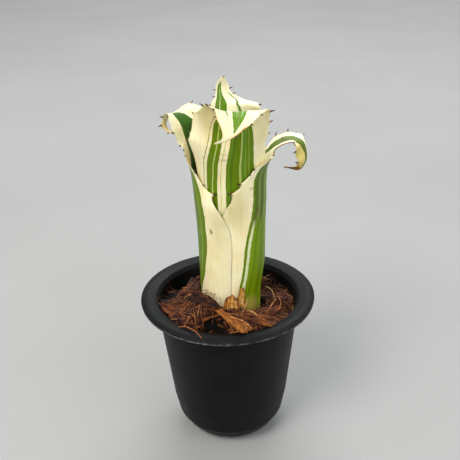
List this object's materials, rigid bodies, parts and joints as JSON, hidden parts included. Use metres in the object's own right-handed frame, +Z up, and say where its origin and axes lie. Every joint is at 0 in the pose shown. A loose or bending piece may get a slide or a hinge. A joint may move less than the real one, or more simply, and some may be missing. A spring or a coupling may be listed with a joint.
{
  "type": "potted bromeliad",
  "caption": "Young bromeliad with cream-edged striped leaves wrapped into a water-holding tube, rooted in coir in a small round pot.",
  "frame": {"origin": "middle of the pot's base, on the surface that the pot stands on", "axes": "+Z up along the pot and the plant, -Y towards the front of the plant, where the curled leaf tip hangs over, +X to the right seen from the front"},
  "size_m": [0.076, 0.076, 0.1603],
  "materials": {
    "pot_plastic": "satin black moulded polypropylene",
    "coir": "loose damp coconut coir",
    "husk": "torn coconut husk",
    "fibre": "dry coconut fibre",
    "leaf": "smooth waxy cream leaf with green stripes",
    "stem": "pale stem tissue",
    "dry_leaf": "dried brown leaf remains"
  },
  "bodies": {
    "root": {"pot": "pot_plastic", "coir_bed": "coir", "husk_chip_1": "husk", "husk_chip_2": "husk", "husk_chip_3": "husk", "husk_chip_4": "husk", "husk_chip_5": "husk", "husk_chip_6": "husk", "husk_chip_7": "husk", "husk_chip_8": "husk", "husk_chip_9": "husk", "coir_fibre_1": "fibre", "coir_fibre_2": "fibre", "coir_fibre_3": "fibre", "stem": "stem", "left_leaf": "leaf", "right_leaf": "leaf", "front_leaf": "leaf", "back_leaf": "leaf", "old_leaf_base": "dry_leaf", "dry_scale": "dry_leaf"}
  },
  "joints": []
}
